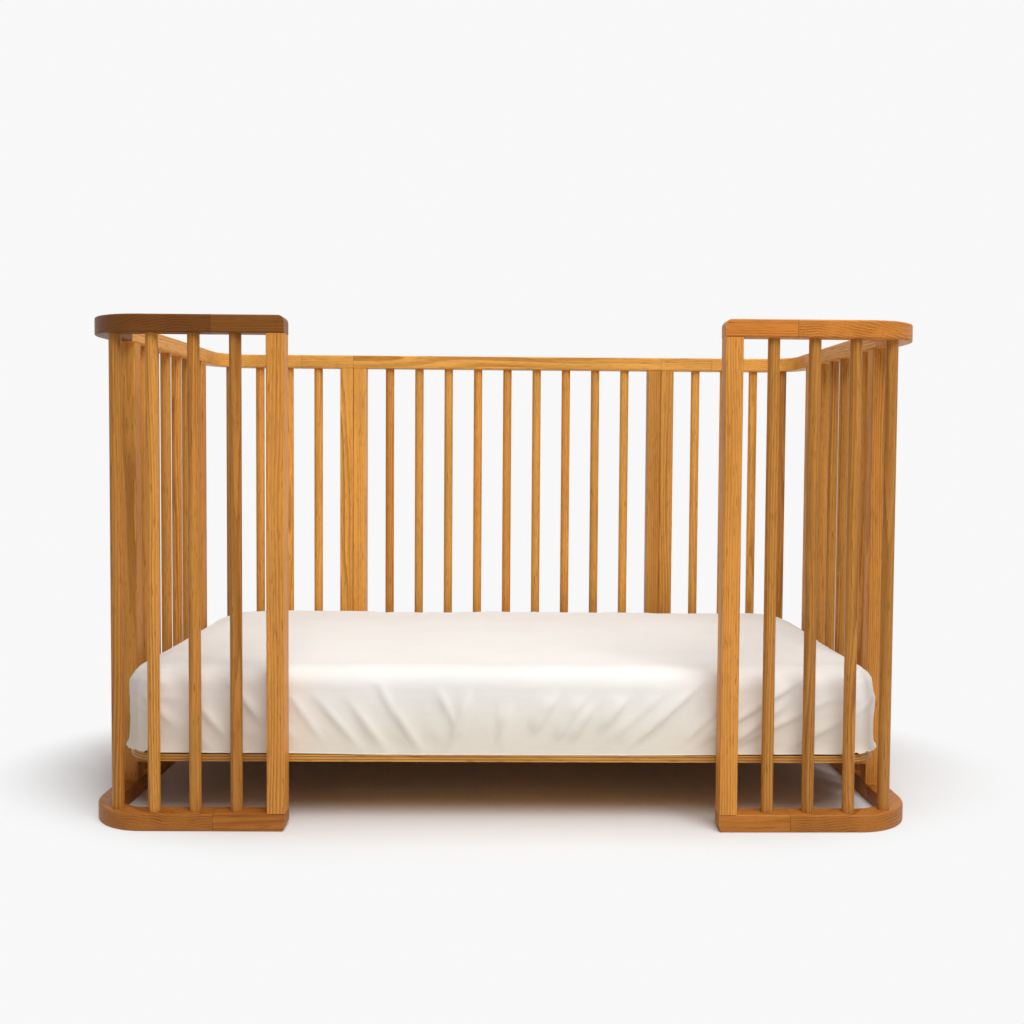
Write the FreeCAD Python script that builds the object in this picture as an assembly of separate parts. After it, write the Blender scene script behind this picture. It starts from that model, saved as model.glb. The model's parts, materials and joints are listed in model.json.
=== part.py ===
import FreeCAD, Part
import math
import os

# Baby crib in its open-fronted form. Two U-shaped end modules (a top rail, a bottom rail,
# posts and round spindles) are joined at the back by a straight spindle panel. A flat
# platform on four steel brackets carries the mattress and its fitted sheet.
# Millimetres. X runs along the length, -Y is the open front, +Z is up, and the floor is Z = 0
# under the middle of the crib.

V = FreeCAD.Vector
UP = V(0, 0, 1)

# ---- overall sizes ----
HEIGHT = 855.0
LENGTH = 1402.0
DEPTH = 786.0
ENTRY_WIDTH = 724.0            # clear gap between the modules' free ends

# ---- rails ----
RAIL_WIDTH = 36.0              # in plan
RAIL_HEIGHT = 30.0
RAIL_EDGE_RADIUS = 3.0         # long edges
CORNER_RADIUS = 100.0          # outer face of a module's corner, in plan
FREE_END_RADIUS = 11.0         # rounded corner of a rail's free end, seen from the front
SIDE_JOINT_PAST_POST = 13.0    # a side post's face to the glue joint in the end bar

# ---- posts ----
POST_WIDTH = 30.0              # along the rail
POST_EDGE_RADIUS = 2.5
TENON_LENGTH = 14.0
TENON_WIDTH = 16.0             # along the rail
TENON_THICKNESS = 18.0         # across the rail
TENON_CLEARANCE = 0.15         # each side of a tenon, and below its end
SIDE_POST_SETBACK = 188.0      # a side post's centre to the front or back face

# ---- spindles ----
SPINDLE_DIAMETER = 20.0
SPINDLE_SEAT = 12.0            # depth of a spindle in its rail
SPINDLE_CLEARANCE = 0.1        # round a spindle and below its end
ARM_SPINDLES = 3
ARM_LAST_SETBACK = 18.0        # last arm spindle to the start of the corner curve
SIDE_SPINDLES = 5
BACK_SPINDLES = 9

# ---- back panel ----
SEAM_GAP = 0.5                 # shadow gap between a module and the back panel

# ---- platform ----
PLATFORM_TOP = 118.0
DECK_THICKNESS = 12.0
DECK_SIDE_CLEARANCE = 12.0     # to the end bars
DECK_LONG_CLEARANCE = 5.0      # to the front and back rails
DECK_CORNER_EASE = 16.0        # how much rounder its corners are than the rails' inner corners
BEARER_WIDTH = 40.0            # bearers across the ends, laid on the brackets
BEARER_HEIGHT = 25.0
BEARER_END_SETBACK = 80.0      # from the deck's long edges
STRINGER_WIDTH = 22.0          # long stringers under the deck, between the bearers
STRINGER_HEIGHT = 34.0
STRINGER_SETBACK = 120.0       # from the deck's long edges

# ---- brackets and fasteners ----
BRACKET_THICKNESS = 3.0
BRACKET_MARGIN = 1.0           # each side, to the post's faces
BRACKET_LEG = 34.0             # flat leg under the bearer
BRACKET_RISE = 66.0            # upright leg against the post
BRACKET_BOLT_SETBACK = 10.0    # upper bolt to the top of the upright leg
BRACKET_BOLT_SPACING = 28.0
BOLT_DIAMETER = 6.0
BOLT_HOLE_CLEARANCE = 0.2      # round a bolt's shank
BOLT_HEAD_DIAMETER = 11.0
BOLT_HEAD_HEIGHT = 3.2
BOLT_SOCKET = 4.0              # hexagon socket, across flats
BOLT_SOCKET_DEPTH = 2.0
BRACKET_BOLT_LENGTH = 22.0     # also through the bracket's flat leg into the bearer
CONNECTOR_BOLT_LENGTH = 40.0
LOWER_CONNECTOR_RISE = 150.0   # from the floor
UPPER_CONNECTOR_DROP = 165.0   # from the crib's top
COUNTERBORE_CLEARANCE = 0.5
COUNTERBORE_DEPTH = 4.0
INSERT_DIAMETER = 10.0
INSERT_LENGTH = 14.0
INSERT_CLEARANCE = 0.1         # round an insert, and between its bore and the bolt

# ---- mattress and sheet ----
MATTRESS_HEIGHT = 142.0
MATTRESS_END_CLEARANCE = 14.0  # to the end bars' inner faces
MATTRESS_LONG_CLEARANCE = 12.0  # to the inner faces of the front and back rails
MATTRESS_CORNER_EASE = 2.0     # how much rounder its corners are than the rails' inner corners
MATTRESS_EDGE_RADIUS = 20.0
SHEET_THICKNESS = 1.0
SOFT_CLEARANCE = 0.3           # mattress to deck, and sheet to mattress

# ---- places worked out from the sizes ----
HALF_LENGTH = LENGTH / 2
HALF_DEPTH = DEPTH / 2
HALF_ENTRY = ENTRY_WIDTH / 2
MID_RAIL = RAIL_WIDTH / 2
INNER_X = HALF_LENGTH - RAIL_WIDTH
INNER_Y = HALF_DEPTH - RAIL_WIDTH
CORNER_X = HALF_LENGTH - CORNER_RADIUS
CORNER_Y = HALF_DEPTH - CORNER_RADIUS
INNER_CORNER_RADIUS = CORNER_RADIUS - RAIL_WIDTH
ARM_JOINT_X = (HALF_ENTRY + CORNER_X) / 2    # glue joint halfway along the arm
SIDE_POST_Y = HALF_DEPTH - SIDE_POST_SETBACK
SIDE_JOINT_Y = SIDE_POST_Y + POST_WIDTH / 2 + SIDE_JOINT_PAST_POST
ARM_Y = HALF_DEPTH - MID_RAIL
SIDE_X = HALF_LENGTH - MID_RAIL
CORNER_BEND = CORNER_RADIUS - MID_RAIL    # radius of the corner's centre line
TOP_RAIL_Z = HEIGHT - RAIL_HEIGHT
ARM_POST_X = HALF_ENTRY + POST_WIDTH / 2
ARM_PITCH = (CORNER_X - ARM_LAST_SETBACK - ARM_POST_X) / ARM_SPINDLES
# The corner spindle stands one more pitch along the rail's centre line.
CORNER_ANGLE = (ARM_PITCH - ARM_LAST_SETBACK) / CORNER_BEND
CORNER_SPINDLE_X = CORNER_X + CORNER_BEND * math.sin(CORNER_ANGLE)
CORNER_SPINDLE_Y = CORNER_Y + CORNER_BEND * math.cos(CORNER_ANGLE)
SIDE_PITCH = 2 * SIDE_POST_Y / (SIDE_SPINDLES + 1)
BACK_HALF = HALF_ENTRY - SEAM_GAP
BACK_POST_X = BACK_HALF - POST_WIDTH / 2
BACK_PITCH = 2 * BACK_POST_X / (BACK_SPINDLES + 1)
DECK_BOTTOM = PLATFORM_TOP - DECK_THICKNESS
DECK_X = INNER_X - DECK_SIDE_CLEARANCE
DECK_Y = INNER_Y - DECK_LONG_CLEARANCE
BEARER_Y = DECK_Y - BEARER_END_SETBACK
STRINGER_Y = DECK_Y - STRINGER_SETBACK
BRACKET_SEAT_Z = DECK_BOTTOM - BEARER_HEIGHT
BRACKET_BOTTOM = BRACKET_SEAT_Z - BRACKET_THICKNESS
BRACKET_BOLT_TOP = BRACKET_BOTTOM + BRACKET_RISE - BRACKET_BOLT_SETBACK
BRACKET_BOLT_HEIGHTS = (BRACKET_BOLT_TOP - BRACKET_BOLT_SPACING, BRACKET_BOLT_TOP)
BEARER_BOLT_X = INNER_X - BRACKET_THICKNESS - BRACKET_LEG / 2
SIDE_POST_YS = (-SIDE_POST_Y, SIDE_POST_Y)
BRACKET_WIDTH = POST_WIDTH - 2 * BRACKET_MARGIN
CONNECTOR_HEIGHTS = (LOWER_CONNECTOR_RISE, HEIGHT - UPPER_CONNECTOR_DROP)
DECK_CORNER_RADIUS = INNER_CORNER_RADIUS + DECK_CORNER_EASE
MATTRESS_X = INNER_X - MATTRESS_END_CLEARANCE
MATTRESS_Y = INNER_Y - MATTRESS_LONG_CLEARANCE
MATTRESS_CORNER_RADIUS = INNER_CORNER_RADIUS + MATTRESS_CORNER_EASE
MATTRESS_BOTTOM = PLATFORM_TOP + SOFT_CLEARANCE

PARTS = {}


def keep(node, *solids):
    """Adds solids to a node; one file per node is written at the end."""
    PARTS.setdefault(node, []).extend(solids)


# ---- shapes used more than once ----
def box(low, high):
    """A box between two corners."""
    size = [high[i] - low[i] for i in range(3)]
    return Part.makeBox(*size, V(*low))


def cylinder(radius, start, along, length):
    """A round bar from a point, along a direction."""
    return Part.makeCylinder(radius, length, V(*start), V(*along))


def rounded_bar(low, high, radius):
    """An upright rectangular bar with rounded long edges."""
    bar = box(low, high)
    uprights = [e for e in bar.Edges if abs(e.tangentAt(e.FirstParameter).z) > 0.9]
    return bar.makeFillet(radius, uprights)


def rounded_slab(half_x, half_y, radius, bottom, top):
    """A flat slab with rounded corners in plan, centred on the Z axis."""
    return rounded_bar((-half_x, -half_y, bottom), (half_x, half_y, top), radius)


def rail_section(origin, across, bottom):
    """A rail's cross-section: RAIL_WIDTH along 'across' from the origin, with rounded corners."""
    r = RAIL_EDGE_RADIUS
    w = RAIL_WIDTH
    h = RAIL_HEIGHT

    def at(u, v):
        return origin + across * u + UP * (bottom + v)

    bend = r * (1 - math.sqrt(0.5))
    edges = [
        Part.LineSegment(at(r, 0), at(w - r, 0)),
        Part.Arc(at(w - r, 0), at(w - bend, bend), at(w, r)),
        Part.LineSegment(at(w, r), at(w, h - r)),
        Part.Arc(at(w, h - r), at(w - bend, h - bend), at(w - r, h)),
        Part.LineSegment(at(w - r, h), at(r, h)),
        Part.Arc(at(r, h), at(bend, h - bend), at(0, h - r)),
        Part.LineSegment(at(0, h - r), at(0, r)),
        Part.Arc(at(0, r), at(bend, bend), at(r, 0)),
    ]
    return Part.Face(Part.Wire([e.toShape() for e in edges]))


def straight_rail(start_x, end_x, outer_y, inward, bottom):
    """A rail along X between two X values, from its outer face inwards."""
    face = rail_section(V(start_x, outer_y, 0), V(0, inward, 0), bottom)
    return face.extrude(V(end_x - start_x, 0, 0))


def side_rail(start_y, end_y, bottom):
    """A rail along Y at the +X end, between two Y values."""
    face = rail_section(V(HALF_LENGTH, start_y, 0), V(-1, 0, 0), bottom)
    return face.extrude(V(0, end_y - start_y, 0))


def corner_rail(front_or_back, bottom):
    """A corner segment at the +X end: a quarter turn with a straight run on each side."""
    start = V(CORNER_X, front_or_back * HALF_DEPTH, 0)
    face = rail_section(start, V(0, -front_or_back, 0), bottom)
    centre = V(CORNER_X, front_or_back * CORNER_Y, 0)
    turn = face.revolve(centre, UP, -front_or_back * 90)
    arm = straight_rail(ARM_JOINT_X, CORNER_X, start.y, -front_or_back, bottom)
    end = side_rail(front_or_back * CORNER_Y, front_or_back * SIDE_JOINT_Y, bottom)
    return turn.fuse([arm, end]).removeSplitter()


def end_corner_cutter(x, into, z, outward):
    """What rounds one corner of a rail's end: 'into' points into the rail along X,
    'outward' is +1 for a top corner at height z and -1 for a bottom one."""
    r = FREE_END_RADIUS
    centre_x = x + into * r
    centre_z = z - outward * r
    low = (min(x - into, centre_x), -DEPTH, min(z + outward, centre_z))
    high = (max(x - into, centre_x), 0, max(z + outward, centre_z))
    return box(low, high).cut(cylinder(r, (centre_x, -DEPTH, centre_z), (0, 1, 0), DEPTH))


# ---- where the posts and spindles of a module stand (the +X one) ----
def module_spindles():
    """Spindle names and places, front to back."""
    places = []
    for i in range(ARM_SPINDLES):
        places.append((f"front_spindle_{i + 1}", ARM_POST_X + (i + 1) * ARM_PITCH, -ARM_Y))
    places.append(("front_corner_spindle", CORNER_SPINDLE_X, -CORNER_SPINDLE_Y))
    for i in range(SIDE_SPINDLES):
        places.append((f"side_spindle_{i + 1}", SIDE_X, SIDE_POST_YS[0] + (i + 1) * SIDE_PITCH))
    places.append(("back_corner_spindle", CORNER_SPINDLE_X, CORNER_SPINDLE_Y))
    for i in range(ARM_SPINDLES):
        places.append((f"back_spindle_{i + 1}", ARM_POST_X + (i + 1) * ARM_PITCH, ARM_Y))
    return places


def module_posts():
    """Post names, places and half sizes in plan."""
    along_x = (POST_WIDTH / 2, RAIL_WIDTH / 2)
    along_y = (RAIL_WIDTH / 2, POST_WIDTH / 2)
    return [
        ("front_post", ARM_POST_X, -ARM_Y, along_x),
        ("side_front_post", SIDE_X, SIDE_POST_YS[0], along_y),
        ("side_back_post", SIDE_X, SIDE_POST_YS[1], along_y),
        ("back_post", ARM_POST_X, ARM_Y, along_x),
    ]


def tenon_half(half):
    """Half sizes of a post's tenon in plan, for a post of these half sizes."""
    if half[0] < half[1]:
        return TENON_WIDTH / 2, TENON_THICKNESS / 2
    return TENON_THICKNESS / 2, TENON_WIDTH / 2


def post(x, y, half):
    """A post between the rails, with a stub tenon at each end."""
    body = rounded_bar(
        (x - half[0], y - half[1], RAIL_HEIGHT),
        (x + half[0], y + half[1], TOP_RAIL_Z),
        POST_EDGE_RADIUS,
    )
    tx, ty = tenon_half(half)
    low = (x - tx, y - ty, RAIL_HEIGHT - TENON_LENGTH)
    high = (x + tx, y + ty, TOP_RAIL_Z + TENON_LENGTH)
    return body.fuse(box(low, high)).removeSplitter()


def mortise(x, y, half, face_z, into):
    """The socket for a tenon, from a rail's face at face_z; 'into' is -1 down or +1 up."""
    tx, ty = tenon_half(half)
    tx += TENON_CLEARANCE
    ty += TENON_CLEARANCE
    end = face_z + into * (TENON_LENGTH + TENON_CLEARANCE)
    start = face_z - into * TENON_LENGTH
    return box((x - tx, y - ty, min(start, end)), (x + tx, y + ty, max(start, end)))


def spindle(x, y):
    """A round spindle, seated in both rails."""
    low = RAIL_HEIGHT - SPINDLE_SEAT
    length = TOP_RAIL_Z + SPINDLE_SEAT - low
    return cylinder(SPINDLE_DIAMETER / 2, (x, y, low), (0, 0, 1), length)


def spindle_seat(x, y, face_z, into):
    """The blind hole for a spindle, from a rail's face; 'into' is -1 down or +1 up."""
    radius = SPINDLE_DIAMETER / 2 + SPINDLE_CLEARANCE
    start = face_z - into * SPINDLE_SEAT
    length = 2 * SPINDLE_SEAT + SPINDLE_CLEARANCE
    return cylinder(radius, (x, y, start), (0, 0, into), length)


def bolt(start, along, length):
    """A button-head bolt: 'start' is the centre of the head's underside."""
    start = V(*start)
    along = V(*along)
    shank = Part.makeCylinder(BOLT_DIAMETER / 2, length, start, along)
    head = Part.makeCylinder(BOLT_HEAD_DIAMETER / 2, BOLT_HEAD_HEIGHT, start, along * -1)
    whole = shank.fuse(head).removeSplitter()
    crown = head.CenterOfMass - along * (BOLT_HEAD_HEIGHT / 2)
    rim = [
        e for e in whole.Edges
        if e.Curve.TypeId == "Part::GeomCircle"
        and abs(e.Curve.Radius - BOLT_HEAD_DIAMETER / 2) < 0.01
        and (e.Curve.Center - crown).Length < 0.01
    ]
    whole = whole.makeFillet(BOLT_HEAD_HEIGHT / 2, rim)
    across = along.cross(UP)
    if across.Length < 0.5:
        across = V(1, 0, 0)
    side = along.cross(across)
    reach = BOLT_SOCKET / math.sqrt(3)
    corners = []
    for i in range(7):
        angle = math.radians(60 * i)
        corners.append(crown + across * (reach * math.cos(angle)) + side * (reach * math.sin(angle)))
    socket = Part.Face(Part.makePolygon(corners)).extrude(along * BOLT_SOCKET_DEPTH)
    return whole.cut(socket)


def bolt_hole(start, along, length):
    """Clearance hole for a bolt's shank."""
    return cylinder(BOLT_DIAMETER / 2 + BOLT_HOLE_CLEARANCE, start, along, length)


def insert(start, along):
    """A threaded insert, flush with the face it is set in."""
    body = cylinder(INSERT_DIAMETER / 2, start, along, INSERT_LENGTH)
    return body.cut(cylinder(BOLT_DIAMETER / 2 + INSERT_CLEARANCE, start, along, INSERT_LENGTH))


def insert_hole(start, along, bolt_reach):
    """Hole for an insert, with room behind it for the bolt's end."""
    wide = cylinder(INSERT_DIAMETER / 2 + INSERT_CLEARANCE, start, along, INSERT_LENGTH)
    return wide.fuse(bolt_hole(start, along, bolt_reach + BOLT_HOLE_CLEARANCE))


def mirrored(shape, side):
    """The shape as made for the +X end, or its mirror image for the -X end."""
    if side > 0:
        return shape
    return shape.mirror(V(0, 0, 0), V(1, 0, 0))


# ---- end modules ----
def module_rail(bottom, face_z, into, rounded_z, outward):
    """One rail of a module as glued segments. face_z is the face the posts stand on;
    'into' points into the rail there. The front free end is rounded at rounded_z."""
    segments = [
        straight_rail(HALF_ENTRY, ARM_JOINT_X, -HALF_DEPTH, 1, bottom),
        corner_rail(-1, bottom),
        side_rail(-SIDE_JOINT_Y, SIDE_JOINT_Y, bottom),
        corner_rail(1, bottom),
        straight_rail(HALF_ENTRY, ARM_JOINT_X, HALF_DEPTH, -1, bottom),
    ]
    sockets = [spindle_seat(x, y, face_z, into) for _, x, y in module_spindles()]
    sockets += [mortise(x, y, half, face_z, into) for _, x, y, half in module_posts()]
    cutters = Part.makeCompound(sockets)
    segments = [s.cut(cutters) for s in segments]
    segments[0] = segments[0].cut(end_corner_cutter(HALF_ENTRY, 1, rounded_z, outward))
    return [s.Solids[0] for s in segments]


def connector_start(z):
    """Head seat of a connector bolt, in the outer side of a module's back post."""
    return HALF_ENTRY + POST_WIDTH - COUNTERBORE_DEPTH, ARM_Y, z


def module(name, side):
    for solid in module_rail(0, RAIL_HEIGHT, -1, 0, -1):
        keep(f"{name}_bottom_rail", mirrored(solid, side))
    for solid in module_rail(TOP_RAIL_Z, TOP_RAIL_Z, 1, HEIGHT, 1):
        keep(f"{name}_top_rail", mirrored(solid, side))
    for spindle_name, x, y in module_spindles():
        keep(f"{name}_{spindle_name}", mirrored(spindle(x, y), side))
    for post_name, x, y, half in module_posts():
        shape = post(x, y, half)
        if post_name == "back_post":
            for z in CONNECTOR_HEIGHTS:
                start = connector_start(z)
                radius = BOLT_HEAD_DIAMETER / 2 + COUNTERBORE_CLEARANCE
                shape = shape.cut(cylinder(radius, start, (1, 0, 0), COUNTERBORE_DEPTH))
                shape = shape.cut(bolt_hole(start, (-1, 0, 0), POST_WIDTH))
        if post_name.startswith("side"):
            reach = BRACKET_BOLT_LENGTH - BRACKET_THICKNESS
            for z in BRACKET_BOLT_HEIGHTS:
                shape = shape.cut(insert_hole((INNER_X, y, z), (1, 0, 0), reach))
        keep(f"{name}_{post_name}", mirrored(shape, side))


# ---- back panel ----
def back_spindle_x(i):
    return -BACK_POST_X + (i + 1) * BACK_PITCH


def back_panel():
    half = (POST_WIDTH / 2, RAIL_WIDTH / 2)
    connector_reach = CONNECTOR_BOLT_LENGTH - (POST_WIDTH - COUNTERBORE_DEPTH) - SEAM_GAP
    for node, bottom, face_z, into in (
        ("back_bottom_rail", 0, RAIL_HEIGHT, -1),
        ("back_top_rail", TOP_RAIL_Z, TOP_RAIL_Z, 1),
    ):
        rail = straight_rail(-BACK_HALF, BACK_HALF, HALF_DEPTH, -1, bottom)
        sockets = [spindle_seat(back_spindle_x(i), ARM_Y, face_z, into) for i in range(BACK_SPINDLES)]
        sockets += [mortise(s * BACK_POST_X, ARM_Y, half, face_z, into) for s in (-1, 1)]
        keep(node, rail.cut(Part.makeCompound(sockets)).Solids[0])
    for i in range(BACK_SPINDLES):
        keep(f"back_spindle_{i + 1}", spindle(back_spindle_x(i), ARM_Y))
    for name, side in (("left", -1), ("right", 1)):
        shape = post(BACK_POST_X, ARM_Y, half)
        for z in CONNECTOR_HEIGHTS:
            shape = shape.cut(insert_hole((BACK_HALF, ARM_Y, z), (-1, 0, 0), connector_reach))
        keep(f"back_panel_{name}_post", mirrored(shape, side))


# ---- platform ----
def bracket(y):
    """An L-shaped steel bracket on the inner face of a side post at the +X end."""
    wall = INNER_X - BRACKET_THICKNESS
    low_y = y - BRACKET_WIDTH / 2
    high_y = y + BRACKET_WIDTH / 2
    upright = box((wall, low_y, BRACKET_BOTTOM), (INNER_X, high_y, BRACKET_BOTTOM + BRACKET_RISE))
    flat = box((wall - BRACKET_LEG, low_y, BRACKET_BOTTOM), (wall, high_y, BRACKET_SEAT_Z))
    shape = upright.fuse(flat).removeSplitter()
    for z in BRACKET_BOLT_HEIGHTS:
        shape = shape.cut(bolt_hole((wall, y, z), (1, 0, 0), BRACKET_THICKNESS))
    return shape.cut(bolt_hole((BEARER_BOLT_X, y, BRACKET_BOTTOM), (0, 0, 1), BRACKET_THICKNESS))


def platform():
    keep("platform_deck", rounded_slab(DECK_X, DECK_Y, DECK_CORNER_RADIUS, DECK_BOTTOM, PLATFORM_TOP))
    bearer = box((DECK_X - BEARER_WIDTH, -BEARER_Y, BRACKET_SEAT_Z), (DECK_X, BEARER_Y, DECK_BOTTOM))
    for y in SIDE_POST_YS:
        reach = BRACKET_BOLT_LENGTH - BRACKET_THICKNESS + BOLT_HOLE_CLEARANCE
        bearer = bearer.cut(bolt_hole((BEARER_BOLT_X, y, BRACKET_SEAT_Z), (0, 0, 1), reach))
    end_x = DECK_X - BEARER_WIDTH
    for side in (-1, 1):
        keep("platform_bearers", mirrored(bearer, side))
        outer_y = side * STRINGER_Y
        inner_y = side * (STRINGER_Y - STRINGER_WIDTH)
        low = (-end_x, min(outer_y, inner_y), DECK_BOTTOM - STRINGER_HEIGHT)
        high = (end_x, max(outer_y, inner_y), DECK_BOTTOM)
        keep("platform_stringers", box(low, high))
        for y in SIDE_POST_YS:
            keep("support_brackets", mirrored(bracket(y), side))


def fasteners():
    wall = INNER_X - BRACKET_THICKNESS
    for side in (-1, 1):
        for y in SIDE_POST_YS:
            for z in BRACKET_BOLT_HEIGHTS:
                keep("bracket_bolts", mirrored(bolt((wall, y, z), (1, 0, 0), BRACKET_BOLT_LENGTH), side))
                keep("threaded_inserts", mirrored(insert((INNER_X, y, z), (1, 0, 0)), side))
            start = (BEARER_BOLT_X, y, BRACKET_BOTTOM)
            keep("bracket_bolts", mirrored(bolt(start, (0, 0, 1), BRACKET_BOLT_LENGTH), side))
        for z in CONNECTOR_HEIGHTS:
            shape = bolt(connector_start(z), (-1, 0, 0), CONNECTOR_BOLT_LENGTH)
            keep("connector_bolts", mirrored(shape, side))
            keep("threaded_inserts", mirrored(insert((BACK_HALF, ARM_Y, z), (-1, 0, 0)), side))


# ---- mattress and sheet ----
def soft_block(grow, bottom, top):
    """The mattress's outline, grown outwards, with rounded top edges."""
    radius = MATTRESS_CORNER_RADIUS + grow
    block = rounded_slab(MATTRESS_X + grow, MATTRESS_Y + grow, radius, bottom, top)
    rim = [e for e in block.Edges if e.BoundBox.ZMin > top - 0.01]
    return block.makeFillet(MATTRESS_EDGE_RADIUS + grow, rim)


def bed():
    top = MATTRESS_BOTTOM + MATTRESS_HEIGHT
    keep("mattress", soft_block(0, MATTRESS_BOTTOM, top))
    inner = soft_block(SOFT_CLEARANCE, MATTRESS_BOTTOM - SHEET_THICKNESS, top + SOFT_CLEARANCE)
    outer_grow = SOFT_CLEARANCE + SHEET_THICKNESS
    outer = soft_block(outer_grow, MATTRESS_BOTTOM, top + outer_grow)
    keep("fitted_sheet", outer.cut(inner))


module("left", -1)
module("right", 1)
back_panel()
platform()
fasteners()
bed()

os.makedirs("parts", exist_ok=True)
for node, solids in PARTS.items():
    for solid in solids:
        if not solid.isValid():
            raise ValueError(f"{node} holds an invalid solid")
    shape = solids[0] if len(solids) == 1 else Part.makeCompound(solids)
    shape.exportStep(f"parts/{node}.step")
print(len(PARTS), "nodes")
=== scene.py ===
import json
import math
import random

import bmesh
import bpy
from bpy.props import FloatProperty, FloatVectorProperty, IntProperty, PointerProperty
from bpy.types import Operator, Panel, PropertyGroup
from mathutils import Matrix, Vector


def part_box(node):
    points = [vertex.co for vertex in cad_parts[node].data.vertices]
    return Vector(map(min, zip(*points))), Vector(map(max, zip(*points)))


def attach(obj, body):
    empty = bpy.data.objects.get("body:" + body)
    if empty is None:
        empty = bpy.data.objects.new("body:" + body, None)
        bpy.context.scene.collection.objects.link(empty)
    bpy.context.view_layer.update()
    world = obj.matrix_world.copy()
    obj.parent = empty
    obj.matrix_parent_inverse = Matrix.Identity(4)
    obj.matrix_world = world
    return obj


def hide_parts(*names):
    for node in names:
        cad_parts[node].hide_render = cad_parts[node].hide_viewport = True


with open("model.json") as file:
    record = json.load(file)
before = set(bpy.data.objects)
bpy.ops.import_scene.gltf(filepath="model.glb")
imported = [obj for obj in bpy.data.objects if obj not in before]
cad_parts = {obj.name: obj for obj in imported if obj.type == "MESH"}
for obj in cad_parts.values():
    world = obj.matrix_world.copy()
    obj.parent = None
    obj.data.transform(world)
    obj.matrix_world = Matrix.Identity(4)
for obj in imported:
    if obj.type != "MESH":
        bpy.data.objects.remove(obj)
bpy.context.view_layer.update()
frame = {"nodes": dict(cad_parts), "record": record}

bl_info = {
    "name": "Baby crib",
    "version": (1, 0, 0),
    "blender": (4, 5, 0),
    "location": "3D View > Sidebar > Crib",
    "description": "Oils a crib's frame, and makes its mattress, fitted sheet and stage",
    "category": "Object",
}

NODES = frame["nodes"]
SLOTS = {part["node"]: part["material_slot"] for part in frame["record"]["subparts"]}
BEDDING = "bedding"

# ---- measures of the crib, in metres, read from its frame ----
RAIL_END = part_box("right_top_rail")[1]
FRONT_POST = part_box("right_front_post")[0]
SIDE_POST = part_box("right_side_front_post")[0]
BED_LOW, BED_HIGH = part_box("mattress")
BED_DROP = BED_HIGH.z - BED_LOW.z
DECK_LOW, DECK_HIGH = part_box("platform_deck")
HALF_LENGTH = RAIL_END.x
HALF_DEPTH = RAIL_END.y

# Where the glue joints of a module's rails lie: halfway along an arm, from the free end to the
# start of the corner's curve, and just past the side posts.
CORNER_RADIUS = 0.100
PAST_SIDE_POST = 0.013
ARM_JOINT = (FRONT_POST.x + HALF_LENGTH - CORNER_RADIUS) / 2
SIDE_JOINT = -SIDE_POST.y + PAST_SIDE_POST

BOARD_SEED = 11        # chooses each piece's board
PLIES = 5
GLUE_LINE = 0.0005     # half the width of a glue line
GLUE_COLOUR = (0.09, 0.03, 0.006)
PORE_COLOUR = (0.10, 0.035, 0.006)
PLY_COLOUR = (0.22, 0.085, 0.02)
RED_TINT = (1.0, 0.68, 0.42)

# ---- the sheet's shape, in metres ----
SETTLING = 14          # frames that the cloth gets to settle
HEM_RADIUS = 0.0013
CROWN = 0.003          # how far the top rises towards its middle
FULLNESS = 0.0075      # how far the middle of a side stands out
END_FULLNESS = 0.009   # how much further it stands out at the ends
DRAWN_IN = 0.0055      # how far the rims lie inside the mattress's outline
TUCK = 0.007           # how far the lower edge is tucked in at the back and between the brackets
LOOSE_FROM, LOOSE_TO = 0.235, 0.275    # the front is loose beyond this distance from the middle
CORE_GAP = Vector((0.006, 0.006, 0.004))
BODY_GAP = 0.003       # between the cloth and the body that it settles on

# ---- the stage ----
BACKDROP = (0.94, 0.94, 0.94)
FLOOR_COLOUR = (0.88, 0.885, 0.89)
FLOOR_SIZE = 30
FADE_START, FADE_END = 1.08, 1.5       # where the floor turns white, in half sizes of the crib
AMBIENT = 0.17


# ---------------------------------------------------------------- settings
class WoodSettings(PropertyGroup):
    """Colours and grain of the oiled wood."""

    light: FloatVectorProperty(
        name="Earlywood", description="Colour of the wood between the growth lines",
        subtype="COLOR", default=(0.765, 0.37, 0.078), min=0, max=1)
    dark: FloatVectorProperty(
        name="Latewood", description="Colour of the growth lines",
        subtype="COLOR", default=(0.40, 0.15, 0.018), min=0, max=1)
    ring_gap: FloatProperty(
        name="Ring gap", description="Distance between growth lines",
        subtype="DISTANCE", unit="LENGTH", default=0.0042, min=0.0005)
    roughness: FloatProperty(
        name="Roughness", description="Roughness of the oiled face", subtype="FACTOR",
        default=0.42, min=0, max=1)


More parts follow.
